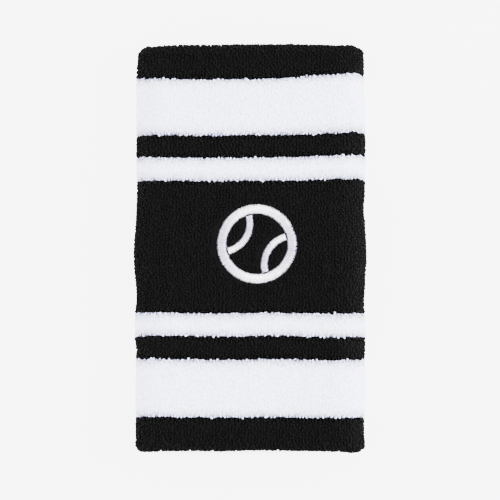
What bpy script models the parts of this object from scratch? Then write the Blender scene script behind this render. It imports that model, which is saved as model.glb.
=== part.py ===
"""Terry sweat wristband for racket sports, lying flat on its back wall.

The band is one knitted tube folded into itself: an outer layer, a fold at each end, and a lining whose
two cut ends meet in a closing seam at mid length. Terry pile stands on both faces of the ground knit,
in one yarn colour for each stripe. Elastic thread runs round between the two layers of knit, and the
emblem is stitched through the front wall only, onto a backing that the lining hides.

Frame, in metres: +Y runs along the tube, +X across its flat width and +Z up out of the table.
The origin is on the table, under the middle of the band.
"""

import math

import bmesh
import bpy
from mathutils import Matrix, Vector

# Driving dimensions
BAND_LENGTH = 0.127  # from fold to fold
BAND_WIDTH = 0.071  # lying flat
FLAT_HEIGHT = 0.0195  # both walls and the opening between them
PILE = 0.0014  # terry pile on either face
KNIT = 0.0005  # ground knit
GAP = 0.0003  # between two pieces that touch
ELASTIC_RADIUS = 0.00025
BACKING_THICKNESS = 0.00025
BOBBIN_THICKNESS = 0.0002

# The outside, from either fold to the middle: black hem, white, black, white, black centre
HEM = 0.0103
WIDE_WHITE = 0.0182
NARROW_BLACK = 0.0068
NARROW_WHITE = 0.0075

# Depth of each layer below the outer skin of the wall
GROUND_DEPTH = PILE + GAP
BACKING_DEPTH = GROUND_DEPTH + KNIT + GAP
BOBBIN_DEPTH = BACKING_DEPTH + BACKING_THICKNESS + GAP
ELASTIC_DEPTH = BOBBIN_DEPTH + BOBBIN_THICKNESS + GAP + ELASTIC_RADIUS
INNER_GROUND_DEPTH = ELASTIC_DEPTH + ELASTIC_RADIUS + GAP
LINING_DEPTH = INNER_GROUND_DEPTH + KNIT + GAP
WALL = LINING_DEPTH + PILE

# The section across the tube: two flat walls joined by half circles
SIDE_RADIUS = FLAT_HEIGHT / 2
FLAT_HALF = BAND_WIDTH / 2 - SIDE_RADIUS
MID_HEIGHT = FLAT_HEIGHT / 2
SIDE_STEPS = 12  # facets on each half circle
FOLD_STEPS = 8  # facets on the half circle of each end fold

SEAM_WIDTH = 0.0014
SEAM_RECESS = 0.0002  # the seam lies this far below the lining's pile
ELASTIC_TURNS = 10
ELASTIC_END_MARGIN = 0.006  # the elastic stops short of the end folds

# The emblem, a plain ball with two curved seams, in satin stitch on the front wall
EMBLEM_CENTRE = (0.0017, 0.0010)
EMBLEM_TILT = math.radians(-30)
RIM_RADIUS = 0.0110  # middle of the stitched ring
RIM_WIDTH = 0.0032
CURVE_OFFSET = 0.0130  # centre of each seam's arc from the middle of the ball
CURVE_RADIUS = 0.0090
CURVE_WIDTH = 0.0024
STITCH_HEIGHT = 0.0008
STITCH_RECESS = 0.0001  # the stitching's top lies this far below the pile
POCKET_DEPTH = STITCH_RECESS + STITCH_HEIGHT + GAP
BOBBIN_SHARE = 0.4  # the bobbin thread fills this much of a column's width on the back
BACKING_RADIUS = 0.0145
ROUND_STEPS = 48
ARC_STEPS = 14

BLACK = (0.008, 0.008, 0.009)
WHITE = (0.82, 0.84, 0.88)
ELASTIC_COLOUR = (0.35, 0.33, 0.30)
BACKING_COLOUR = (0.70, 0.70, 0.68)
EMBLEM_COLOUR = (0.86, 0.86, 0.90)


def clear_scene():
    for obj in list(bpy.data.objects):
        bpy.data.objects.remove(obj)


def material(name, colour, roughness):
    made = bpy.data.materials.new(name)
    made.use_nodes = True
    shader = made.node_tree.nodes["Principled BSDF"]
    shader.inputs["Base Color"].default_value = (*colour, 1)
    shader.inputs["Roughness"].default_value = roughness
    shader.inputs["Metallic"].default_value = 0
    return made


def add_object(name, mesh, surface, parent=None, smooth_angle=math.radians(40)):
    mesh.shade_smooth()
    mesh.set_sharp_from_angle(angle=smooth_angle)
    mesh.materials.append(surface)
    obj = bpy.data.objects.new(name, mesh)
    obj.parent = parent
    bpy.context.scene.collection.objects.link(obj)
    return obj


def mesh_of(name, vertices, faces):
    """A closed mesh whose faces point out."""
    mesh = bpy.data.meshes.new(name)
    mesh.from_pydata(vertices, [], faces)
    shape = bmesh.new()
    shape.from_mesh(mesh)
    bmesh.ops.recalc_face_normals(shape, faces=shape.faces)
    shape.to_mesh(mesh)
    shape.free()
    return mesh


# --- The tube's layers -------------------------------------------------------


def section_stations():
    """Stations round the section: the centre of the half circle each is on, and its direction."""
    stations = []
    for side in (1, -1):
        for step in range(SIDE_STEPS + 1):
            angle = -side * math.pi / 2 + math.pi * step / SIDE_STEPS
            stations.append((side * FLAT_HALF, math.cos(angle), math.sin(angle)))
    return stations


def on_section(station, y, depth):
    centre, cosine, sine = station
    radius = SIDE_RADIUS - depth
    return Vector((centre + radius * cosine, y, MID_HEIGHT + radius * sine))


def swept_ring(name, profile, surface, parent):
    """Sweeps a closed profile of (y, depth) points round the tube's section."""
    stations = section_stations()
    count = len(profile)
    vertices = [on_section(station, y, depth) for station in stations for y, depth in profile]
    faces = []
    for ring in range(len(stations)):
        following = (ring + 1) % len(stations)
        for corner in range(count):
            beside = (corner + 1) % count
            faces.append(
                (
                    ring * count + corner,
                    ring * count + beside,
                    following * count + beside,
                    following * count + corner,
                )
            )
    return add_object(name, mesh_of(name, vertices, faces), surface, parent)


def sleeve(name, start, end, depth, thickness, surface, parent):
    """A plain length of one layer, from y start to y end."""
    inner = depth + thickness
    profile = [(start, depth), (end, depth), (end, inner), (start, inner)]
    return swept_ring(name, profile, surface, parent)


def fold_arc(end_sign, depth):
    """A layer's half circle round an end fold, from the outer layer to the lining."""
    middle = WALL / 2
    radius = middle - depth
    fold_line = BAND_LENGTH / 2 - middle
    points = []
    for step in range(FOLD_STEPS + 1):
        angle = math.pi / 2 - math.pi * step / FOLD_STEPS
        y = end_sign * (fold_line + radius * math.cos(angle))
        points.append((y, middle - radius * math.sin(angle)))
    return points


def hem(name, end_sign, surface, parent):
    """The terry that wraps an end: outer pile, fold and the first of the lining."""
    edge = end_sign * (BAND_LENGTH / 2 - HEM + GAP / 2)
    outside = [(edge, 0.0), *fold_arc(end_sign, 0.0), (edge, WALL)]
    inside = [(edge, LINING_DEPTH), *reversed(fold_arc(end_sign, PILE)), (edge, PILE)]
    return swept_ring(name, outside + inside, surface, parent)


def ground_knit(surface, parent):
    """The folded ground knit, open only where its two cut ends meet in the lining."""
    cut = SEAM_WIDTH / 2 + GAP
    skin, back = GROUND_DEPTH, GROUND_DEPTH + KNIT
    outside = [(cut, WALL - skin), *reversed(fold_arc(1, skin)), *fold_arc(-1, skin), (-cut, WALL - skin)]
    inside = [(-cut, WALL - back), *reversed(fold_arc(-1, back)), *fold_arc(1, back), (cut, WALL - back)]
    return swept_ring("ground_knit", outside + inside, surface, parent)


def terry_stripes(black, white, parent):
    """The outer stripes between the hems, mirrored about the middle, and the black centre."""
    start = BAND_LENGTH / 2 - HEM
    for label, length, surface in (
        ("wide_white", WIDE_WHITE, white),
        ("narrow_black", NARROW_BLACK, black),
        ("narrow_white", NARROW_WHITE, white),
    ):
        near, far = start - length + GAP / 2, start - GAP / 2
        sleeve(f"terry_{label}_top", near, far, 0.0, PILE, surface, parent)
        sleeve(f"terry_{label}_bottom", -far, -near, 0.0, PILE, surface, parent)
        start -= length
    edge = start - GAP / 2
    return sleeve("terry_centre_black", -edge, edge, 0.0, PILE, black, parent)


def lining(black, parent):
    """The lining's terry, between each hem and the closing seam."""
    hem_edge = BAND_LENGTH / 2 - HEM - GAP / 2
    seam_edge = SEAM_WIDTH / 2 + GAP
    sleeve("lining_terry_top", seam_edge, hem_edge, LINING_DEPTH, PILE, black, parent)
    sleeve("lining_terry_bottom", -hem_edge, -seam_edge, LINING_DEPTH, PILE, black, parent)


def closing_seam(surface, parent):
    """The overlocked ridge of thread that joins the tube's two cut ends."""
    half = SEAM_WIDTH / 2
    shoulder = half / 2
    top = WALL - SEAM_RECESS
    foot = INNER_GROUND_DEPTH
    profile = [(-half, foot), (half, foot), (half, top - shoulder), (shoulder, top), (-shoulder, top)]
    swept_ring("closing_seam", [*profile, (-half, top - shoulder)], surface, parent)


def elastic_thread(name, phase, surface, parent):
    """One covered elastic thread, laid round the tube as a helix. Phase is its share of a pitch."""
    stations = section_stations()
    reach = BAND_LENGTH / 2 - WALL / 2 - ELASTIC_END_MARGIN
    pitch = 2 * reach / (ELASTIC_TURNS + 0.5)
    curve = bpy.data.curves.new(name, "CURVE")
    curve.dimensions = "3D"
    curve.bevel_depth = ELASTIC_RADIUS
    curve.bevel_resolution = 0
    curve.use_fill_caps = True
    curve.materials.append(surface)
    spline = curve.splines.new("POLY")
    count = ELASTIC_TURNS * len(stations)
    spline.points.add(count - 1)
    for index in range(count):
        y = -reach + pitch * (phase + index / len(stations))
        point = on_section(stations[index % len(stations)], y, ELASTIC_DEPTH)
        spline.points[index].co = (*point, 1)
    obj = bpy.data.objects.new(name, curve)
    obj.parent = parent
    bpy.context.scene.collection.objects.link(obj)


# --- The emblem --------------------------------------------------------------


def emblem_empty():
    """The ball's centre on the front wall's skin, turned by its tilt."""
    empty = bpy.data.objects.new("emblem_place", None)
    empty.location = (*EMBLEM_CENTRE, FLAT_HEIGHT)
    empty.rotation_euler = (0, 0, EMBLEM_TILT)
    bpy.context.scene.collection.objects.link(empty)
    return empty


def arc_points(centre_x, radius, start, end, steps):
    points = []
    for step in range(steps + 1):
        angle = start + (end - start) * step / steps
        points.append((centre_x + radius * math.cos(angle), radius * math.sin(angle)))
    return points


def prism(name, outline, depth, thickness):
    """A flat plate of an outline, with its top this depth under the pile's skin."""
    count = len(outline)
    top = [Vector((x, y, -depth)) for x, y in outline]
    bottom = [point - Vector((0, 0, thickness)) for point in top]
    sides = [(i, (i + 1) % count, count + (i + 1) % count, count + i) for i in range(count)]
    faces = [tuple(range(count)), tuple(reversed(range(count, 2 * count))), *sides]
    return mesh_of(name, top + bottom, faces)


def ring_prism(name, radius, width, depth, thickness):
    """A flat washer, with its top this depth under the pile's skin."""
    profile = [
        (radius - width / 2, -depth),
        (radius + width / 2, -depth),
        (radius + width / 2, -depth - thickness),
        (radius - width / 2, -depth - thickness),
    ]
    vertices = []
    for step in range(ROUND_STEPS):
        turn = Matrix.Rotation(2 * math.pi * step / ROUND_STEPS, 3, "Z")
        vertices += [turn @ Vector((x, 0, z)) for x, z in profile]
    faces = []
    for step in range(ROUND_STEPS):
        here, there = 4 * step, 4 * ((step + 1) % ROUND_STEPS)
        for corner in range(4):
            beside = (corner + 1) % 4
            faces.append((here + corner, here + beside, there + beside, there + corner))
    return mesh_of(name, vertices, faces)


def curve_outline(side, width, reach):
    """A ball seam's column: an arc of this width whose middle line ends at radius reach."""
    across = (reach**2 - CURVE_RADIUS**2 + CURVE_OFFSET**2) / (2 * CURVE_OFFSET)
    half_angle = math.atan2(math.sqrt(reach**2 - across**2), CURVE_OFFSET - across)
    middle = math.pi if side > 0 else 0.0
    start, end = middle - half_angle, middle + half_angle
    centre = side * CURVE_OFFSET
    outer = arc_points(centre, CURVE_RADIUS + width / 2, start, end, ARC_STEPS)
    inner = arc_points(centre, CURVE_RADIUS - width / 2, end, start, ARC_STEPS)
    return outer + inner


def boolean(obj, other, operation):
    modifier = obj.modifiers.new(operation.lower(), "BOOLEAN")
    modifier.operation = operation
    modifier.solver = "EXACT"
    modifier.object = other


def cutter(name, mesh, parent):
    """A shape that only cuts or joins another, left out of the part itself."""
    obj = bpy.data.objects.new(name, mesh)
    obj.parent = parent
    obj.hide_render = True
    obj.display_type = "WIRE"
    bpy.context.scene.collection.objects.link(obj)
    return obj


def emblem(thread, bobbin, backing, centre_stripe, place):
    """Satin columns in pockets of the pile, and what holds them behind the knit."""
    curve_reach = RIM_RADIUS - RIM_WIDTH / 2 - CURVE_WIDTH / 4 - GAP
    rim = ring_prism("emblem_rim", RIM_RADIUS, RIM_WIDTH, STITCH_RECESS, STITCH_HEIGHT)
    add_object("emblem_rim", rim, thread, place)
    over = GAP  # how far a pocket's cutter stands above the pile
    pocket = POCKET_DEPTH + over
    ring = ring_prism("rim_pocket", RIM_RADIUS, RIM_WIDTH + 2 * GAP, -over, pocket)
    boolean(centre_stripe, cutter("rim_pocket", ring, place), "DIFFERENCE")

    bobbin_ring = ring_prism(
        "emblem_bobbin_thread", RIM_RADIUS, BOBBIN_SHARE * RIM_WIDTH, BOBBIN_DEPTH, BOBBIN_THICKNESS
    )
    back = add_object("emblem_bobbin_thread", bobbin_ring, bobbin, place)
    for side, label in ((-1, "left"), (1, "right")):
        name = f"emblem_seam_{label}"
        outline = curve_outline(side, CURVE_WIDTH, curve_reach)
        add_object(name, prism(name, outline, STITCH_RECESS, STITCH_HEIGHT), thread, place)
        wide = curve_outline(side, CURVE_WIDTH + 2 * GAP, RIM_RADIUS)
        hole = prism(f"{name}_pocket", wide, -over, pocket)
        boolean(centre_stripe, cutter(f"{name}_pocket", hole, place), "DIFFERENCE")
        narrow = curve_outline(side, BOBBIN_SHARE * CURVE_WIDTH, RIM_RADIUS)
        arc = prism(f"{name}_bobbin", narrow, BOBBIN_DEPTH, BOBBIN_THICKNESS)
        boolean(back, cutter(f"{name}_bobbin", arc, place), "UNION")

    disc = arc_points(0.0, BACKING_RADIUS, 0.0, 2 * math.pi, ROUND_STEPS)[:-1]
    patch = prism("emblem_backing", disc, BACKING_DEPTH, BACKING_THICKNESS)
    add_object("emblem_backing", patch, backing, place)


def main():
    clear_scene()
    black = material("black_terry", BLACK, 0.95)
    white = material("white_terry", WHITE, 0.95)
    knit = material("black_ground_knit", BLACK, 0.9)
    elastic = material("covered_elastic", ELASTIC_COLOUR, 0.7)
    seam = material("seam_thread", BLACK, 0.8)
    thread = material("emblem_thread", EMBLEM_COLOUR, 0.45)
    bobbin = material("bobbin_thread", EMBLEM_COLOUR, 0.6)
    backing = material("emblem_backing", BACKING_COLOUR, 0.9)

    band = bpy.data.objects.new("wristband", None)
    bpy.context.scene.collection.objects.link(band)
    hem("terry_hem_top", 1, black, band)
    hem("terry_hem_bottom", -1, black, band)
    centre_stripe = terry_stripes(black, white, band)
    lining(black, band)
    ground_knit(knit, band)
    closing_seam(seam, band)
    elastic_thread("elastic_thread_outer", 0.0, elastic, band)
    elastic_thread("elastic_thread_lining", 0.5, elastic, band)
    emblem(thread, bobbin, backing, centre_stripe, emblem_empty())


main()
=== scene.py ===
"""The looks of the terry sweat wristband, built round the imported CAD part.

Shapes are worked out in millimetres in the part's frame and turned to metres as each mesh is made.
A place on the fabric has two coordinates: t, how far it lies along the tube from the middle of the
outside, over an end fold and into the lining, and u, its share of the way round the tube. The terry
is real geometry: every loop of its pile is a small closed tube of yarn that stands on the knit. A
cloth simulation gives the shape in which the soft band lies, and every piece follows it.
"""

import collections
import math

import bpy
import numpy as np
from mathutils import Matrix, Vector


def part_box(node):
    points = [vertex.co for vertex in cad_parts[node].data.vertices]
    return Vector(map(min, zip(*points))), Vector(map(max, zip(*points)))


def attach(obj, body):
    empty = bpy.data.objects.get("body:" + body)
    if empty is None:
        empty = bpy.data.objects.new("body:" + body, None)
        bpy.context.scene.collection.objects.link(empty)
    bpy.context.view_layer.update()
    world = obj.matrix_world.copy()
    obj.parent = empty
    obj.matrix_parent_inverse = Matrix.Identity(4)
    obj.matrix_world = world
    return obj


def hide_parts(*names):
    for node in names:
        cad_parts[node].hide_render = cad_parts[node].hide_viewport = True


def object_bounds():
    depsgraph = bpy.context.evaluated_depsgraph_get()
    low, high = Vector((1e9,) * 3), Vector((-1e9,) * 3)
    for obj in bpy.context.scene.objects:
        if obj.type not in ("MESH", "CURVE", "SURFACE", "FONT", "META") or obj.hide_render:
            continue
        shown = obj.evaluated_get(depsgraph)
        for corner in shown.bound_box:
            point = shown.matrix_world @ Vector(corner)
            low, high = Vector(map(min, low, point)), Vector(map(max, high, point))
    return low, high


MM = 0.001
RNG = np.random.default_rng(20)

# --- The frame ---------------------------------------------------------------

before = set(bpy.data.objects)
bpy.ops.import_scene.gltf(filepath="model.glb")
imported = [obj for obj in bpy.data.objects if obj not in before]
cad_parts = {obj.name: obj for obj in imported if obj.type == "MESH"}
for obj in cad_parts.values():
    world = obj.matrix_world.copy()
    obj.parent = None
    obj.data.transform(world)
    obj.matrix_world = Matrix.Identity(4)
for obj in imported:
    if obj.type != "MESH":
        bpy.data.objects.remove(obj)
cad_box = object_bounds()


def cad_span(node, axis):
    """A CAD node's extent along one axis, in millimetres."""
    low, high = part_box(node)
    return low[axis] / MM, high[axis] / MM


X, Y, Z = range(3)
LENGTH = (cad_box[1][Y] - cad_box[0][Y]) / MM
WIDTH = (cad_box[1][X] - cad_box[0][X]) / MM
HEIGHT = (cad_box[1][Z] - cad_box[0][Z]) / MM
lining_low, lining_high = cad_span("lining_terry_top", Z)
knit_high = cad_span("ground_knit", Z)[1]

# The double wall: pile, ground knit, elastic, ground knit and the lining's pile
PILE = 1.4
WALL = (HEIGHT - (lining_high - lining_low)) / 2 + PILE
KNIT_TOP = HEIGHT - knit_high
KNIT = 0.5
ELASTIC_DEPTH = 3.8

# The flattened tube: two flat walls joined by half circles, and half circles over the ends
SIDE_RADIUS = HEIGHT / 2
FLAT_HALF = WIDTH / 2 - SIDE_RADIUS
FOLD_RADIUS = WALL / 2
FOLD_START = LENGTH / 2 - FOLD_RADIUS
FOLD_END = FOLD_START + math.pi * FOLD_RADIUS
LINING_MIDDLE = FOLD_END + FOLD_START  # the t of the closing seam


def lining_t(y):
    """The t of a place in the top half of the lining."""
    return LINING_MIDDLE - y


# --- The fabric's surface ----------------------------------------------------


def smooth_step(low, high, value):
    share = np.clip((value - low) / (high - low), 0, 1)
    return share * share * (3 - 2 * share)


def bell(value, centre, width):
    return np.exp(-(((value - centre) / width) ** 2))


def along_tube(t):
    """The y at t, the depth below the outer skin, how far the skin has turned, and which end it is."""
    end = np.where(t < 0, -1.0, 1.0)
    distance = np.abs(t)
    turned = np.clip((distance - FOLD_START) / FOLD_RADIUS, 0, math.pi)
    flat = np.minimum(distance, FOLD_START) - np.maximum(distance - FOLD_END, 0)
    y = end * (flat + FOLD_RADIUS * np.sin(turned))
    return y, FOLD_RADIUS * (1 - np.cos(turned)), turned, end


def girth(radius):
    return 4 * FLAT_HALF + 2 * math.pi * radius


def round_tube(u, radius):
    """The centre and direction of the flattened section at u, from the front wall's right end."""
    place = np.mod(u, 1.0) * girth(radius)
    flat, arc = 2 * FLAT_HALF, math.pi * radius
    left = np.clip((place - flat) / radius, 0, math.pi)
    right = np.clip((place - 2 * flat - arc) / radius, 0, math.pi)
    angle = math.pi / 2 + left + right
    centre = FLAT_HALF - np.clip(place, 0, flat) + np.clip(place - flat - arc, 0, flat)
    return centre, np.cos(angle), np.sin(angle)


def knitted(t, u, sink=0.0):
    """Places this far below the fabric's surface before it settles, with the normal and tangents."""
    t, u, sink = np.broadcast_arrays(np.asarray(t, float), np.asarray(u, float), sink)
    y, depth, turned, end = along_tube(t)
    radius = SIDE_RADIUS - depth
    centre, cosine, sine = round_tube(u, radius)
    nothing = np.zeros_like(cosine)
    outward = np.stack([cosine, nothing, sine], -1)
    endward = np.stack([nothing, end, nothing], -1)
    cos_turn, sin_turn = np.cos(turned)[..., None], np.sin(turned)[..., None]
    normal = outward * cos_turn + endward * sin_turn
    down = (endward * cos_turn - outward * sin_turn) * end[..., None]
    across = np.cross(down, normal)
    place = np.stack([centre + radius * cosine, y, SIDE_RADIUS + radius * sine], -1)
    return place - normal * sink[..., None], normal, across, down


def grid_quads(index):
    """Faces of a grid of points that closes on itself along both axes."""
    beside = np.roll(index, -1, axis=1)
    after = np.roll(index, -1, axis=0)
    return np.stack([index, beside, np.roll(beside, -1, axis=0), after], -1).reshape(-1, 4)


# --- How the soft wall settles -----------------------------------------------

CAGE_ROWS, CAGE_COLUMNS = 64, 64  # along the fabric and round it
CAGE_UNIT = 0.01  # to a millimetre: ten times life size, where cloth is steady
SETTLING_STEPS = 20
MOST_SETTLING = 2.5
RESTING_BELOW = 1.0  # skin that lies lower than this rests on the table


def cage_cloth(cage):
    """Cloth with springs through the wall that keep it thick, and a little air to keep it full."""
    modifier = cage.modifiers.new("cloth", "CLOTH")
    modifier.collision_settings.use_collision = False
    modifier.point_cache.frame_start = 1
    modifier.point_cache.frame_end = SETTLING_STEPS
    cloth = modifier.settings
    cloth.quality = 6
    cloth.mass = 0.3
    cloth.tension_stiffness = cloth.compression_stiffness = cloth.shear_stiffness = 15
    cloth.tension_damping = cloth.compression_damping = cloth.shear_damping = 20
    cloth.bending_stiffness = 2
    cloth.air_damping = 5
    cloth.use_internal_springs = True
    cloth.internal_spring_max_length = 9 * CAGE_UNIT
    cloth.internal_tension_stiffness = cloth.internal_compression_stiffness = 10
    cloth.use_pressure = True
    cloth.uniform_pressure_force = 30
    return cloth


def settle():
    """How far each point of a coarse cage of the skin moves as the band settles on the table under its
    own weight: a cloth simulation, in which the flat of the back wall rests on the table."""
    t = LINING_MIDDLE * np.linspace(-1, 1, CAGE_ROWS, endpoint=False)[:, None]
    u = np.linspace(0, 1, CAGE_COLUMNS, endpoint=False)[None]
    before = knitted(t, u)[0]
    quads = grid_quads(np.arange(CAGE_ROWS * CAGE_COLUMNS).reshape(CAGE_ROWS, -1)[::-1])
    mesh = bpy.data.meshes.new("cage")
    mesh.from_pydata((before.reshape(-1, 3) * CAGE_UNIT).tolist(), [], quads.tolist())
    cage = bpy.data.objects.new("cage", mesh)
    bpy.context.scene.collection.objects.link(cage)
    resting = cage.vertex_groups.new(name="resting")
    resting.add(np.flatnonzero(before[..., Z] < RESTING_BELOW).tolist(), 1.0, "REPLACE")
    cage_cloth(cage).vertex_group_mass = resting.name
    for step in range(1, SETTLING_STEPS + 1):
        bpy.context.scene.frame_set(step)
    simulated = cage.evaluated_get(bpy.context.evaluated_depsgraph_get()).data
    after = np.empty(before.size, np.float32)
    simulated.vertices.foreach_get("co", after)
    bpy.data.objects.remove(cage)
    bpy.data.meshes.remove(mesh)
    bpy.context.scene.frame_set(1)
    moved = after.reshape(before.shape) / CAGE_UNIT - before
    return np.clip(moved, -MOST_SETTLING, MOST_SETTLING)


SETTLED = settle()


def settled(t, u):
    """How far the fabric has moved at a place, between the points of the cage."""
    row = np.mod(t / LINING_MIDDLE + 1, 2.0) / 2 * CAGE_ROWS
    column = np.mod(u, 1.0) * CAGE_COLUMNS
    row, column = np.broadcast_arrays(row, column)
    first_row, first_column = np.floor(row).astype(int), np.floor(column).astype(int)
    moved = np.zeros((*row.shape, 3))
    for down in (0, 1):
        for across in (0, 1):
            share = np.abs(1 - down - (row - first_row)) * np.abs(1 - across - (column - first_column))
            point = SETTLED[(first_row + down) % CAGE_ROWS, (first_column + across) % CAGE_COLUMNS]
            moved += share[..., None] * point
    return moved


def skin(t, u, sink=0.0):
    """Places this far below the fabric's surface, with the normal and the two tangents."""
    place, normal, across, down = knitted(t, u, sink)
    return place + settled(t, u), normal, across, down


# --- Outline, stripes and ripples --------------------------------------------

# How far the front wall's stripes are pulled along the tube, from the bottom end to the top, at the
# middle and left of the band and then at its right side. All of this section is in millimetres.
PULL_Y = (-63.5, -53, -35, -28, -20.7, 0, 20.7, 28, 35, 53, 63.5)
PULL_LEFT = (-0.2, 0.3, 0.4, 0.6, 0.6, 0.3, 0.2, 0.2, 0.1, -0.2, 0.4)
PULL_RIGHT = (-0.2, 0.15, 0.25, 0.35, 0.4, 0.5, 0.75, 1.05, 1.1, 1.6, 0.4)
LOWEST = 0.03  # just clear of the table


def outline(x, y, side):
    """Where a place comes to lie across the band, which is fuller at its middle and lower half,
    tapered at its top and moved a little to the left."""
    lower = 0.3 * smooth_step(-10, -25, y) + 0.3 * smooth_step(-59, -63, y)
    fullness = 0.25 + 0.65 * bell(y, -2, 7) + lower
    taper = 0.5 * smooth_step(50, 61, y)
    return x + side * (fullness - taper) - 0.3 * (1 + side) - 0.45 * lower


def stripe_pull(x, y):
    """How far the front wall's fabric is pulled along the tube, with a slight wander."""
    to_right = smooth_step(2, 32, x)
    pull = np.interp(y, PULL_Y, PULL_LEFT) * (1 - to_right) + np.interp(y, PULL_Y, PULL_RIGHT) * to_right
    wander = 0.12 * np.sin(x / 5.5 + 1.0) * bell(y, 38, 18) + 0.15 * np.sin(x / 6.0) * bell(y, -34, 16)
    return pull + wander


def corner_shift(y, side):
    """How far the corners move along the tube: out at the bottom end, which squares them, and at the
    top end out on the right and in on the left."""
    corner = smooth_step(0.74, 1.02, np.abs(side))
    return (0.3 * side * smooth_step(56, 62, y) - 0.95 * smooth_step(-57, -62, y)) * corner


def drape(points):
    """How the band's outline and stripes wander from the straight, and its front wall ripples."""
    x, y, z = points[..., 0], points[..., 1], points[..., 2]
    side = x / (WIDTH / 2)
    front = smooth_step(0.2 * HEIGHT, 0.8 * HEIGHT, z)
    edge = 0.15 * np.sin(x / 8.0 + 0.5) * smooth_step(58, 63, np.abs(y))
    new_y = y + front * stripe_pull(x, y) + corner_shift(y, side) + edge
    ripple = 0.14 * np.sin(x / 6.5 + y / 17.0) + 0.12 * np.sin(y / 9.0 - x / 21.0 + 1.0)
    new_z = np.maximum(z + front * ripple, LOWEST)
    return np.stack([outline(x, y, side), new_y, new_z], -1)


# --- Meshes ------------------------------------------------------------------


def joined(*parts):
    """Points, faces and tones of several shapes as one shape's."""
    starts = np.cumsum([0] + [len(points) for points, _, _ in parts[:-1]])
    points = np.concatenate([part[0] for part in parts])
    quads = np.concatenate([part[1] + start for part, start in zip(parts, starts)])
    tones = np.concatenate([part[2] for part in parts])
    return points, quads, tones


def make_piece(name, shape, material, slot, *nodes):
    """A piece of the visual model from a shape: its points in millimetres, quads and yarn tones."""
    points, quads, tones = shape
    mesh = bpy.data.meshes.new(name)
    mesh.vertices.add(len(points))
    mesh.vertices.foreach_set("co", (drape(points) * MM).astype(np.float32).ravel())
    mesh.loops.add(quads.size)
    mesh.loops.foreach_set("vertex_index", quads.astype(np.int32).ravel())
    mesh.polygons.add(len(quads))
    mesh.polygons.foreach_set("loop_start", np.arange(0, quads.size, 4, dtype=np.int32))
    mesh.update(calc_edges=True)
    mesh.shade_smooth()
    tone = mesh.attributes.new("tone", "FLOAT", "POINT")
    tone.data.foreach_set("value", tones.astype(np.float32).ravel())
    mesh.materials.append(material)
    obj = bpy.data.objects.new(name, mesh)
    bpy.context.scene.collection.objects.link(obj)
    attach(obj, "root")
    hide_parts(*nodes)


SIDES = 4  # of a pile loop's tube


def tubes(centres, radii, plane, tones=None):
    """Closed four-sided tubes along centre lines (count, rings, 3), each of which lies in a plane."""
    count, rings = centres.shape[:2]
    tangent = np.gradient(centres, axis=1)
    tangent /= np.linalg.norm(tangent, axis=-1, keepdims=True)
    second = np.cross(tangent, plane)
    second /= np.linalg.norm(second, axis=-1, keepdims=True)
    first = np.cross(second, tangent)
    corners = 2 * math.pi * (np.arange(SIDES) + 0.5)[:, None] / SIDES
    rim = first[:, :, None] * np.cos(corners) + second[:, :, None] * np.sin(corners)
    points = centres[:, :, None] + radii[..., None, None] * rim

    index = np.arange(rings * SIDES).reshape(rings, SIDES)
    beside = np.roll(index, -1, axis=1)
    walls = np.stack([index[:-1], beside[:-1], beside[1:], index[1:]], -1).reshape(-1, 4)
    single = np.concatenate([walls, index[:1, ::-1], index[-1:]])
    quads = single[None] + (np.arange(count) * rings * SIDES)[:, None, None]
    if tones is None:
        tones = RNG.uniform(0, 1, count)
    return points.reshape(-1, 3), quads.reshape(-1, 4), np.repeat(tones, rings * SIDES)


# --- Materials ---------------------------------------------------------------


def new_material(name, colour, roughness, specular=0.5, sheen=0.0, sheen_roughness=0.5):
    material = bpy.data.materials.new(name)
    material.use_nodes = True
    shader = material.node_tree.nodes["Principled BSDF"]
    shader.inputs["Base Color"].default_value = (*colour, 1)
    shader.inputs["Roughness"].default_value = roughness
    shader.inputs["Specular IOR Level"].default_value = specular
    shader.inputs["Sheen Weight"].default_value = sheen
    shader.inputs["Sheen Roughness"].default_value = sheen_roughness
    return material, material.node_tree, shader


def add_node(tree, kind, **inputs):
    node = tree.nodes.new(kind)
    for name, value in inputs.items():
        node.inputs[name.replace("_", " ")].default_value = value
    return node


def noise(tree, scale, detail=2.0):
    """Noise in the object's own space, so that scale is in blobs to the metre."""
    place = tree.nodes.new("ShaderNodeTexCoord")
    made = add_node(tree, "ShaderNodeTexNoise", Scale=scale, Detail=detail)
    tree.links.new(place.outputs["Object"], made.inputs["Vector"])
    return made.outputs["Fac"]


def math_node(tree, operation, *values):
    """A Math node whose inputs are numbers or other nodes' outputs."""
    node = tree.nodes.new("ShaderNodeMath")
    node.operation = operation
    for socket, value in zip(node.inputs, values):
        if isinstance(value, (int, float)):
            socket.default_value = value
        else:
            tree.links.new(value, socket)
    return node.outputs[0]


def mixed(tree, first, second, share):
    """This share of the first value and the rest of the second, both outputs of nodes."""
    rest = math_node(tree, "MULTIPLY", second, 1 - share)
    return math_node(tree, "MULTIPLY_ADD", first, share, rest)


def tone_of(tree):
    """The tone that each loop or strand carries."""
    tone = tree.nodes.new("ShaderNodeAttribute")
    tone.attribute_name = "tone"
    return tone.outputs["Fac"]


def colour_ramp(tree, factor, dark, light, low=0.0, high=1.0):
    ramp = tree.nodes.new("ShaderNodeValToRGB")
    for element, position, colour in zip(ramp.color_ramp.elements, (low, high), (dark, light)):
        element.position = position
        element.color = (*colour, 1)
    tree.links.new(factor, ramp.inputs["Fac"])
    return ramp.outputs["Color"]


def add_bump(tree, shader, height, strength, depth):
    """A fine relief, this many millimetres deep."""
    bump = add_node(tree, "ShaderNodeBump", Strength=strength, Distance=depth * MM)
    tree.links.new(height, bump.inputs["Height"])
    tree.links.new(bump.outputs["Normal"], shader.inputs["Normal"])


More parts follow.
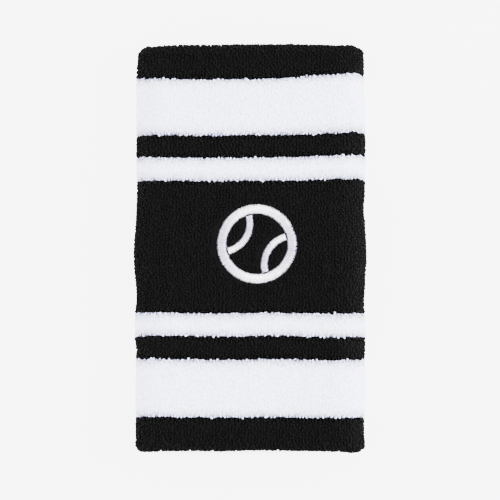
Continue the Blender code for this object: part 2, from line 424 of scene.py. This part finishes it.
def cotton(name, dark, light, sheen):
    """Soft cotton yarn: every loop has its own tone, and fibres mottle and roughen it."""
    material, tree, shader = new_material(name, light, 0.95, specular=0.08, sheen=sheen)
    fibre = noise(tree, 1400, 3)
    shade = mixed(tree, tone_of(tree), fibre, 0.6)
    tree.links.new(colour_ramp(tree, shade, dark, light, 0.1, 0.85), shader.inputs["Base Color"])
    roughness = math_node(tree, "MULTIPLY_ADD", fibre, 0.3, 0.7)
    tree.links.new(roughness, shader.inputs["Roughness"])
    add_bump(tree, shader, noise(tree, 7000, 1), strength=0.4, depth=0.1)
    return material


WAVE_SPACING = math.pi / 10  # between a Wave texture's bands at scale 1, in metres


def fine_bands(tree, axis, spacing, distortion):
    """Fine bands across one axis of the object's space, spaced in millimetres."""
    place = tree.nodes.new("ShaderNodeTexCoord")
    scale = WAVE_SPACING / (spacing * MM)
    bands = add_node(tree, "ShaderNodeTexWave", Scale=scale, Distortion=distortion)
    bands.bands_direction = axis
    tree.links.new(place.outputs["Object"], bands.inputs["Vector"])
    return bands.outputs["Fac"]


def fine_knit(name, dark, light):
    """A fine jersey: wales along the tube, courses round it."""
    material, tree, shader = new_material(name, light, 0.9, specular=0.1, sheen=0.02)
    wales = fine_bands(tree, "X", 0.55, 0.6)
    courses = fine_bands(tree, "Y", 0.45, 0.6)
    relief = math_node(tree, "MULTIPLY", wales, courses)
    shade = mixed(tree, relief, noise(tree, 900), 0.7)
    tree.links.new(colour_ramp(tree, shade, dark, light), shader.inputs["Base Color"])
    tree.links.new(math_node(tree, "MULTIPLY_ADD", relief, -0.15, 0.95), shader.inputs["Roughness"])
    add_bump(tree, shader, relief, strength=0.8, depth=0.2)
    return material


def thread(name, dark, light, roughness, sheen, metallic=0.0):
    """Twisted thread, each strand with its own tone and the twist as a fine relief."""
    material, tree, shader = new_material(name, light, roughness, specular=0.45, sheen=sheen)
    shader.inputs["Metallic"].default_value = metallic
    fibre = noise(tree, 5000)
    shade = mixed(tree, tone_of(tree), fibre, 0.55)
    tree.links.new(colour_ramp(tree, shade, dark, light, 0.1, 0.8), shader.inputs["Base Color"])
    gloss = math_node(tree, "MULTIPLY_ADD", fibre, 0.25, roughness - 0.12)
    tree.links.new(gloss, shader.inputs["Roughness"])
    add_bump(tree, shader, noise(tree, 9000, 1), strength=0.3, depth=0.05)
    return material


def covered_elastic():
    """Elastic wound with fine yarn, which bands it."""
    material, tree, shader = new_material("covered_elastic", (0.4, 0.38, 0.34), 0.7, specular=0.3, sheen=0.1)
    wraps = fine_bands(tree, "DIAGONAL", 0.22, 0.4)
    shade = mixed(tree, wraps, noise(tree, 1500), 0.6)
    colour = colour_ramp(tree, shade, (0.22, 0.21, 0.19), (0.46, 0.44, 0.40))
    tree.links.new(colour, shader.inputs["Base Color"])
    tree.links.new(math_node(tree, "MULTIPLY_ADD", wraps, -0.2, 0.8), shader.inputs["Roughness"])
    add_bump(tree, shader, wraps, strength=0.6, depth=0.1)
    return material


def nonwoven():
    """Pressed stabiliser: matted fibres with thin and thick spots."""
    material, tree, shader = new_material("nonwoven_backing", (0.7, 0.7, 0.68), 0.9, specular=0.2)
    fibres = add_node(tree, "ShaderNodeTexVoronoi", Scale=1400.0)
    fibres.feature = "DISTANCE_TO_EDGE"
    place = tree.nodes.new("ShaderNodeTexCoord")
    tree.links.new(place.outputs["Object"], fibres.inputs["Vector"])
    mesh_of_fibres = math_node(tree, "MULTIPLY", fibres.outputs["Distance"], 4.0)
    shade = math_node(tree, "MULTIPLY_ADD", noise(tree, 300), 0.6, mesh_of_fibres)
    colour = colour_ramp(tree, shade, (0.5, 0.5, 0.48), (0.78, 0.78, 0.76))
    tree.links.new(colour, shader.inputs["Base Color"])
    tree.links.new(math_node(tree, "MULTIPLY_ADD", shade, 0.1, 0.85), shader.inputs["Roughness"])
    add_bump(tree, shader, shade, strength=0.5, depth=0.1)
    return material


# Loops near a colour change carry painted shade or painted light: the white ones come nearest to the white's
# dark end, the black ones to the black's light end
BLACK_COTTON = cotton("black_cotton_terry", (0.0083, 0.0083, 0.0082), (0.0122, 0.0122, 0.0120), 0.02)
WHITE_COTTON = cotton("white_cotton_terry", (0.27, 0.28, 0.34), (0.84, 0.865, 1.0), 0.05)
GROUND_KNIT = fine_knit("black_ground_knit", (0.003, 0.003, 0.003), (0.012, 0.012, 0.012))
SEAM_THREAD = thread("black_seam_thread", (0.006, 0.006, 0.006), (0.02, 0.02, 0.02), 0.6, 0.05)
# The satin thread's lilac dark end is where the painted shade of stitches lying across the band takes it
EMBLEM_THREAD = thread("white_satin_thread", (0.34, 0.34, 0.44), (0.99, 0.99, 1.0), 0.28, 0.0, 0.5)
BOBBIN_THREAD = thread("white_bobbin_thread", (0.62, 0.62, 0.64), (0.80, 0.80, 0.82), 0.75, 0.1)


# --- Terry -------------------------------------------------------------------

WALES = 164  # columns of loops round the tube
FIRST_WALE = 0.25  # where the first one stands from the front wall's right end, in wales
COURSE = 0.9  # from one row of loops to the next
LOOP_RINGS = 7
OUTER_GAUGE = (WALES, COURSE, LOOP_RINGS)
LINING_GAUGE = (108, 1.25, 5)  # coarser, because it lies inside
MAT_BOTTOM = 1.5  # the depth of the underside of the matted foot of the pile
MOST_LOOPS = 3300  # in one mesh

# The loops' shape and how it varies
FOOT_TURN = 0.1  # how far a loop's arch goes on past its half turn, in radians
SITE_SPREAD = (0.16, 0.2)  # of a course and of a wale
TURN_SPREAD = 0.6  # of the way a loop opens, in radians
HEIGHT_SPREAD = 0.06
REACH_RANGE = (0.28, 0.50)  # half the width of a loop's arch
LEAN_ACROSS, LEAN_DOWN = 0.12, 0.24
THICKNESS_RANGE = (0.88, 1.1)  # of the yarn's own

# A colour change: the teeth of its uneven edge, how far from it they and the painted shade and light
# of the loops reach, and how much the loops' tones and their spread, and the mat's tone, change at it
TOOTH, LONGEST_TOOTH = 0.15, 0.3
TEETH_REACH, PAINTED_SHADE_REACH = 0.9, 2.2
TONE_PAINTED_SHADE, SPREAD_PAINTED_SHADE, MAT_PAINTED_SHADE = 0.4, 0.7, 0.6

# A yarn's radius, the depth of the matted foot of its pile, how much its loops' tones spread, how
# much painted shade its loops carry towards a colour change, and its looks. There the white loops are
# painted darker, as painted shade, and the black ones beside them painted lighter, as painted light.
# The white yarn isn't dyed, so it is fuller and more even.
Yarn = collections.namedtuple("Yarn", "radius foot spread fade material slot")
BLACK_YARN = Yarn(0.36, foot=0.62, spread=1.0, fade=-1.1, material=BLACK_COTTON, slot="black_terry")
WHITE_YARN = Yarn(0.42, foot=0.42, spread=0.1, fade=1.0, material=WHITE_COTTON, slot="white_terry")

stripe_ends = ("hem", "wide_white", "narrow_black", "narrow_white")
stripe_edges = [cad_span(f"terry_{name}_top", Y)[0] for name in stripe_ends]
STRIPE_EDGES = np.array([side * edge for side in (-1, 1) for edge in stripe_edges])
TEETH = RNG.normal(0, TOOTH, (len(STRIPE_EDGES), WALES)).clip(-LONGEST_TOOTH, LONGEST_TOOTH)


def ragged(t, u):
    """How far the yarn change's uneven edge shifts a place along the tube."""
    wale = np.mod(u, 1.0) * WALES
    shift = np.zeros(np.broadcast(t, u).shape)
    for edge, teeth in zip(STRIPE_EDGES, TEETH):
        here = np.interp(wale, np.arange(WALES), teeth, period=WALES)
        shift += here * bell(t, edge, TEETH_REACH)
    return shift


def near_edge(t):
    """1 at a colour change, and 0 away from it."""
    return bell(np.asarray(t)[..., None], STRIPE_EDGES, PAINTED_SHADE_REACH).max(axis=-1)


def loop_sites(low, high, wales, course):
    """Where the loops stand between two places along the tube: a row for each course."""
    rows = max(1, round((high - low) / course))
    t = low + (np.arange(rows)[:, None] + 0.5) * (high - low) / rows
    u = np.broadcast_to((np.arange(wales) + FIRST_WALE) / wales, (rows, wales))
    jitter_t = RNG.normal(0, SITE_SPREAD[0] * course, u.shape)
    jitter_u = RNG.normal(0, SITE_SPREAD[1] / wales, u.shape)
    return (t + jitter_t + ragged(t, u)).ravel(), (u + jitter_u).ravel()


def pile(t, u, yarn, rings):
    """A loop of yarn at each site: an arch that mostly opens along the tube, and leans."""
    count = len(t)
    foot, normal, across, down = skin(t, u, PILE)
    turn = RNG.normal(0, TURN_SPREAD, (count, 1))
    opening = down * np.cos(turn) + across * np.sin(turn)
    height = PILE - yarn.radius + RNG.normal(0, HEIGHT_SPREAD, count)
    reach = RNG.uniform(*REACH_RANGE, count)
    lean = across * RNG.normal(0, LEAN_ACROSS, (count, 1)) + down * RNG.normal(0, LEAN_DOWN, (count, 1))
    angle = np.linspace(-FOOT_TURN, math.pi + FOOT_TURN, rings)
    rise = np.sin(angle)
    centres = (
        foot[:, None]
        + opening[:, None] * (reach[:, None] * np.cos(angle))[..., None]
        + normal[:, None] * (height[:, None] * rise)[..., None]
        + lean[:, None] * (np.maximum(rise, 0) ** 1.5)[None, :, None]
    )
    thickness = (0.8 + 0.2 * np.maximum(rise, 0)) * yarn.radius
    radii = thickness[None] * RNG.uniform(*THICKNESS_RANGE, (count, 1))
    plane = np.broadcast_to(np.cross(opening, normal)[:, None], centres.shape)
    # Near a colour change the tones carry painted shade: white loops are painted darker and more mottled,
    # black ones painted lighter
    painted_shade = yarn.fade * near_edge(t)
    spread = np.maximum(yarn.spread, SPREAD_PAINTED_SHADE * painted_shade)
    tones = 1 - TONE_PAINTED_SHADE * painted_shade - RNG.uniform(0, 1, count) * spread
    return tubes(centres, radii, plane, tones)


RING_STEP = 1.2  # between a fabric layer's rings of points
EDGE_SINK = 0.6  # of a layer's thickness, which rounds its edges


def ring_layer(low, high, top, bottom, columns=WALES):
    """A closed layer of fabric right round the tube, between two depths below its surface: its
    points, its faces and each point's t."""
    rows = max(2, round((high - low) / RING_STEP)) + 1
    t = np.linspace(low, high, rows)[:, None]
    u = ((np.arange(columns) + FIRST_WALE) / columns)[None]
    t = t + ragged(t, u)
    sunk = top + EDGE_SINK * (bottom - top) * np.isin(np.arange(rows), (0, rows - 1))[:, None]
    layers = [skin(t, u, depth)[0] for depth in (sunk, bottom)]
    grid = np.concatenate([layers[0], layers[1][::-1]])
    index = np.arange(2 * rows * columns).reshape(2 * rows, columns)
    return grid.reshape(-1, 3), grid_quads(index[::-1]), np.concatenate([t, t[::-1]]).ravel()


def terry(name, stretch, yarn, node, gauge=OUTER_GAUGE, bare=None):
    """A stretch of terry: the matted foot of its pile, and the loops that stand out of it in several
    pieces that each stay light. No loop stands where bare says there is none."""
    wales, course, rings = gauge
    points, quads, t = ring_layer(*stretch, yarn.foot, MAT_BOTTOM, wales)
    # The mat is given its yarn's darkest loop tone, painted shade for the foot deep between the loops, and
    # near a colour change the white mat is painted darker still
    mat = points, quads, (1 - yarn.spread) * (1 - MAT_PAINTED_SHADE * yarn.fade * near_edge(t))
    make_piece(f"{name}_mat", mat, yarn.material, yarn.slot, node)
    t, u = loop_sites(*stretch, wales, course)
    if bare:
        covered = ~bare(skin(t, u)[0])
        t, u = t[covered], u[covered]
    share = np.array_split(np.arange(len(t)), math.ceil(len(t) / MOST_LOOPS))
    for number, loops in enumerate(share, 1):
        shape = pile(t[loops], u[loops], yarn, rings)
        make_piece(f"{name}_pile_{number}", shape, yarn.material, yarn.slot, node)


# --- The terry pieces --------------------------------------------------------


def colour_stripes():
    yarns = {"wide_white": WHITE_YARN, "narrow_black": BLACK_YARN, "narrow_white": WHITE_YARN}
    for name, yarn in yarns.items():
        for end in ("top", "bottom"):
            node = f"terry_{name}_{end}"
            terry(f"{name}_terry_{end}", cad_span(node, Y), yarn, node)


def hems():
    """The black hems, which fold over the ends and on to the lining."""
    outer_edge = cad_span("terry_hem_top", Y)[0]
    for end, side in (("top", 1), ("bottom", -1)):
        stretch = sorted((side * outer_edge, side * lining_t(outer_edge)))
        terry(f"hem_terry_{end}", stretch, BLACK_YARN, f"terry_hem_{end}")


def centre_stripe():
    """The black centre, whose pile is pressed flat under the emblem."""
    node = "terry_centre_black"
    terry("centre_terry", cad_span(node, Y), BLACK_YARN, node, bare=under_emblem)


def lining():
    seam_edge, hem_edge = cad_span("lining_terry_top", Y)
    for end, side in (("top", 1), ("bottom", -1)):
        stretch = sorted((side * lining_t(hem_edge), side * lining_t(seam_edge)))
        node = f"lining_terry_{end}"
        terry(f"{node}_inner", stretch, BLACK_YARN, node, gauge=LINING_GAUGE)


# --- Inside the wall ---------------------------------------------------------


def ground_knit():
    """The knit that carries the pile: outer layer, end folds and inner layer in one."""
    seam = cad_span("closing_seam", Y)
    gap = 0.1
    reach = LINING_MIDDLE - (seam[1] - seam[0]) / 2 - gap
    points, quads, t = ring_layer(-reach, reach, KNIT_TOP, KNIT_TOP + KNIT)
    layer = points, quads, np.zeros_like(t)
    make_piece("ground_knit_jersey", layer, GROUND_KNIT, "ground_knit", "ground_knit")


def elastic_threads():
    """Covered elastic laid round the tube between the two layers of knit, as two helices."""
    turns, steps, radius = 10, 72, 0.25
    material = covered_elastic()
    outer = cad_span("elastic_thread_outer", Y)
    inner = cad_span("elastic_thread_lining", Y)
    for label, (low, high) in (("outer", outer), ("lining", inner)):
        turned = np.arange(turns * steps) / steps
        t = low + radius + (high - low - 2 * radius) * turned / turned[-1]
        place, _, _, down = skin(t, turned, ELASTIC_DEPTH)
        shape = tubes(place[None], np.full((1, len(t)), radius), down[None])
        node = f"elastic_thread_{label}"
        make_piece(f"covered_{node}", shape, material, "elastic_thread", node)


def closing_seam():
    """The overlocked ridge inside: two cut edges, wound round and round with thread."""
    depth, half_height, half_width, strand = 1.15, 0.85, 0.5, 0.14
    sides, stitches, steps, core_tone = 8, WALES // 2, 10, 0.2
    along = np.array((0.0, 1.0, 0.0))

    u = np.arange(WALES) / WALES
    foot, normal, _, _ = skin(LINING_MIDDLE, u, depth)
    turn = 2 * math.pi * np.arange(sides)[:, None, None] / sides
    ridge = foot[None] + normal[None] * half_height * np.cos(turn) + along * half_width * np.sin(turn)
    index = np.arange(sides * WALES).reshape(sides, WALES)
    core = ridge.reshape(-1, 3), grid_quads(index), np.full(index.size, core_tone)

    u = np.arange(stitches * steps + 1) / (stitches * steps)
    foot, normal, across, _ = skin(LINING_MIDDLE, u, depth)
    turn = (2 * math.pi * stitches * u)[:, None]
    half_height, half_width = half_height + strand, half_width + strand
    coil = foot + normal * half_height * np.cos(turn) + along * half_width * np.sin(turn)
    wound = tubes(coil[None], np.full((1, len(u)), strand), across[None])
    make_piece("overlocked_seam", joined(core, wound), SEAM_THREAD, "seam_thread", "closing_seam")


# --- The emblem --------------------------------------------------------------

# A plain ball: a ring and two curved seams, in columns of satin stitch
rim_x, rim_y = cad_span("emblem_rim", X), cad_span("emblem_rim", Y)
EMBLEM_CENTRE = (sum(rim_x) / 2, sum(rim_y) / 2)
EMBLEM_TILT = math.radians(-30)
RIM_WIDTH = 3.2
RIM_RADIUS = (rim_x[1] - rim_x[0] - RIM_WIDTH) / 2
CURVE_OFFSET, CURVE_RADIUS, CURVE_WIDTH = 13.0, 9.0, 2.4
BARE_MARGIN = 0.4  # the pile is pressed away this far beside a column
STITCH_PITCH = 0.29
STRAND, BOBBIN_STRAND = 0.157, 0.1  # radii
SATIN_TOP, SATIN_EDGE = -0.3, 0.7  # depths of a column's crown and of its edges
UNDERLAY_TOP, UNDERLAY_EDGE = SATIN_TOP + 0.22, SATIN_EDGE + 0.1
BOBBIN_DEPTH, BACKING_DEPTH, BACKING_THICKNESS = 3.15, 2.5, 0.25
BOBBIN_SHARE = 0.4  # of its column's width

# The shape of a stitch and how it varies
STITCH_RINGS = 9
DOME = 0.96  # nearer to 1, a column's edges are steeper
SLANT_SPREAD = 0.008  # radians
END_SPREAD, DEPTH_SPREAD = 0.06, 0.02
STRAND_RANGE = (0.94, 1.06)
PAINTED_CROSSWISE_SHADE, TONE_SPREAD = 0.8, 0.3  # painted sheen: stitches that lie along the band are painted lighter and those across it darker, as satin looks under light from one side


def under_emblem(place):
    """Which places lie under the emblem's columns, on the front wall."""
    x, y = place[:, X] - EMBLEM_CENTRE[0], place[:, Y] - EMBLEM_CENTRE[1]
    cosine, sine = math.cos(EMBLEM_TILT), math.sin(EMBLEM_TILT)
    x, y = x * cosine + y * sine, y * cosine - x * sine
    from_middle = np.hypot(x, y)
    covered = np.abs(from_middle - RIM_RADIUS) < RIM_WIDTH / 2 + BARE_MARGIN
    for side in (-1, 1):
        from_arc = np.abs(np.hypot(x - side * CURVE_OFFSET, y) - CURVE_RADIUS)
        covered |= (from_arc < CURVE_WIDTH / 2 + BARE_MARGIN) & (from_middle < RIM_RADIUS)
    return covered & (place[:, Z] > HEIGHT / 2)


def on_emblem(x, y, depth):
    """A place in the emblem's own axes, this deep below the front wall's skin."""
    cosine, sine = math.cos(EMBLEM_TILT), math.sin(EMBLEM_TILT)
    x, y, depth = np.broadcast_arrays(x, y, depth)
    placed_x = EMBLEM_CENTRE[0] + x * cosine - y * sine
    placed_y = EMBLEM_CENTRE[1] + x * sine + y * cosine
    place = np.stack([placed_x, placed_y, HEIGHT - depth], -1)
    return place + settled(placed_y, (FLAT_HALF - placed_x) / girth(SIDE_RADIUS))


def satin(centre_x, radius, width, start, end, crown, edge, strand=STRAND):
    """Stitches across a column that follows an arc: each a strand that domes from edge to edge."""
    count = round(abs(end - start) * radius / STITCH_PITCH)
    angle = start + (end - start) * (np.arange(count) + 0.5) / count
    slant = RNG.normal(0, SLANT_SPREAD, count)
    reach = (width / 2 - strand + RNG.normal(0, END_SPREAD, (2, count)))[:, :, None]
    share = np.linspace(-1, 1, STITCH_RINGS)
    out = np.where(share < 0, reach[0] * share, reach[1] * share)
    turned = angle[:, None] + slant[:, None] * share
    x = centre_x + (radius + out) * np.cos(turned)
    y = (radius + out) * np.sin(turned)
    dome = np.sqrt(1 - DOME * share**2)
    depth = edge - (edge - crown) * dome + RNG.normal(0, DEPTH_SPREAD, (count, 1))
    centres = on_emblem(x, y, depth)
    beside = on_emblem(-np.sin(angle), np.cos(angle), 0.0) - on_emblem(0.0, 0.0, 0.0)
    radii = np.full(depth.shape, strand) * RNG.uniform(*STRAND_RANGE, (count, 1))
    # Painted sheen and shade: a stitch's tone follows how its thread lies, as satin catches light from one
    # side
    painted_shade_share = np.cos(angle + EMBLEM_TILT) ** 2
    tones = 1 - PAINTED_CROSSWISE_SHADE * painted_shade_share - RNG.uniform(0, TONE_SPREAD, count)
    return tubes(centres, radii, np.broadcast_to(beside[:, None], centres.shape), tones)


def padded_satin(*column):
    """Satin stitches over a lower layer of the same, so that no gap shows between them."""
    underlay = satin(*column, crown=UNDERLAY_TOP, edge=UNDERLAY_EDGE)
    return joined(underlay, satin(*column, crown=SATIN_TOP, edge=SATIN_EDGE))


def curve_span(side, reach):
    """The first and last angle of a ball seam's arc that ends this far from the ball's middle."""
    across = (reach**2 - CURVE_RADIUS**2 + CURVE_OFFSET**2) / (2 * CURVE_OFFSET)
    half = math.atan2(math.sqrt(reach**2 - across**2), CURVE_OFFSET - across)
    middle = math.pi if side > 0 else 0.0
    return middle - half, middle + half


def bobbin_satin(centre_x, radius, width, *span):
    """The narrow flat column that the bobbin thread makes behind a satin one."""
    return satin(centre_x, radius, BOBBIN_SHARE * width, *span, BOBBIN_DEPTH, BOBBIN_DEPTH, BOBBIN_STRAND)


def emblem():
    ring = (0.0, RIM_RADIUS, RIM_WIDTH, 0.0, 2 * math.pi)
    make_piece("satin_rim", padded_satin(*ring), EMBLEM_THREAD, "emblem_thread", "emblem_rim")
    bobbin = [bobbin_satin(*ring)]
    for side, label in ((-1, "left"), (1, "right")):
        span = curve_span(side, RIM_RADIUS - RIM_WIDTH / 2 - STRAND)
        column = (side * CURVE_OFFSET, CURVE_RADIUS, CURVE_WIDTH, *span)
        shape = padded_satin(*column)
        make_piece(f"satin_seam_{label}", shape, EMBLEM_THREAD, "emblem_thread", f"emblem_seam_{label}")
        bobbin.append(bobbin_satin(*column))
    make_piece("bobbin_stitches", joined(*bobbin), BOBBIN_THREAD, "bobbin_thread", "emblem_bobbin_thread")


def emblem_backing():
    """A disc of stabiliser with a slightly uneven cut edge."""
    backing_x = cad_span("emblem_backing", X)
    rings, around = 12, 96
    angle = 2 * math.pi * np.arange(around) / around
    uneven = 1 + 0.006 * np.sin(5 * angle) + 0.004 * np.sin(13 * angle + 1)
    radius = np.linspace(0.01, 1, rings)[:, None] * (backing_x[1] - backing_x[0]) / 2 * uneven
    x, y = radius * np.cos(angle), radius * np.sin(angle)
    top = on_emblem(x, y, BACKING_DEPTH)
    bottom = on_emblem(x, y, BACKING_DEPTH + BACKING_THICKNESS)
    index = np.arange(2 * rings * around).reshape(2 * rings, around)[::-1]
    disc = np.concatenate([top, bottom[::-1]]).reshape(-1, 3), grid_quads(index), np.zeros(index.size)
    make_piece("nonwoven_disc", disc, nonwoven(), "emblem_backing", "emblem_backing")


colour_stripes()
hems()
centre_stripe()
lining()
ground_knit()
elastic_threads()
closing_seam()
emblem()
emblem_backing()

# --- Floor, light and camera -------------------------------------------------


def link_object(obj):
    bpy.context.scene.collection.objects.link(obj)
    return obj


def floor():
    """A pale table that glows a little, as a light table does, so that shadows stay faint. Its glow is
    dimmed by ambient occlusion where the band nearly touches it, as a painted contact shadow."""
    half = 3.0
    mesh = bpy.data.meshes.new("floor")
    corners = [(-half, -half, 0), (half, -half, 0), (half, half, 0), (-half, half, 0)]
    mesh.from_pydata(corners, [], [(0, 1, 2, 3)])
    material, tree, shader = new_material("light_table", (0.22, 0.22, 0.22), 0.9, specular=0.0)
    # Painted contact shadow: the glow fades where the band is near
    painted_contact_shadow = add_node(tree, "ShaderNodeAmbientOcclusion", Distance=3 * MM)
    tree.links.new(painted_contact_shadow.outputs["Color"], shader.inputs["Emission Color"])
    shader.inputs["Emission Strength"].default_value = 2.08
    mesh.materials.append(material)
    link_object(bpy.data.objects.new("floor", mesh))


def softbox(name, place, size, power):
    data = bpy.data.lights.new(name, "AREA")
    data.shape = "SQUARE"
    data.size = size
    data.energy = power
    light = link_object(bpy.data.objects.new(name, data))
    light.location = place
    light.rotation_euler = (-light.location).to_track_quat("-Z", "Y").to_euler()


def studio():
    world = bpy.data.worlds.new("studio")
    world.use_nodes = True
    background = world.node_tree.nodes["Background"]
    background.inputs["Color"].default_value = (0.99, 0.99, 1.03, 1)
    background.inputs["Strength"].default_value = 1.9
    bpy.context.scene.world = world
    softbox("softbox_right", (0.9, 0.25, 0.8), 0.7, 17.0)
    softbox("softbox_left", (-0.9, 0.1, 0.3), 0.7, 4.0)


def camera():
    """Straight down on the band, as a long lens sees it."""
    distance = 1.0
    view_width = 0.1562
    outline_height = 0.55 * HEIGHT * MM
    middle_x, middle_y = -0.1 * MM, -0.6 * MM
    data = bpy.data.cameras.new("camera")
    data.lens = data.sensor_width * (distance - outline_height) / view_width
    data.clip_start, data.clip_end = 0.05, 20
    camera_object = link_object(bpy.data.objects.new("camera", data))
    camera_object.location = (middle_x, middle_y, distance)
    bpy.context.scene.camera = camera_object


# The camera's response: scene brightness and the brightness it records, rolling off in the highlights
RESPONSE = (
    (0.0, 0.0),
    (0.02, 0.0065),
    (0.05, 0.03),
    (0.12, 0.115),
    (0.4, 0.42),
    (0.8, 0.70),
    (1.2, 0.785),
    (1.5, 0.827),
    (2.0, 0.873),
    (2.6, 0.913),
    (4.0, 1.0),
)


def camera_response():
    view = bpy.context.scene.view_settings
    view.view_transform = "Standard"
    view.use_curve_mapping = True
    brightest = RESPONSE[-1][0]
    view.curve_mapping.white_level = (brightest, brightest, brightest)
    points = view.curve_mapping.curves[3].points
    for seen, recorded in RESPONSE[1:-1]:
        points.new(seen / brightest, recorded)
    view.curve_mapping.update()


floor()
studio()
camera()
camera_response()
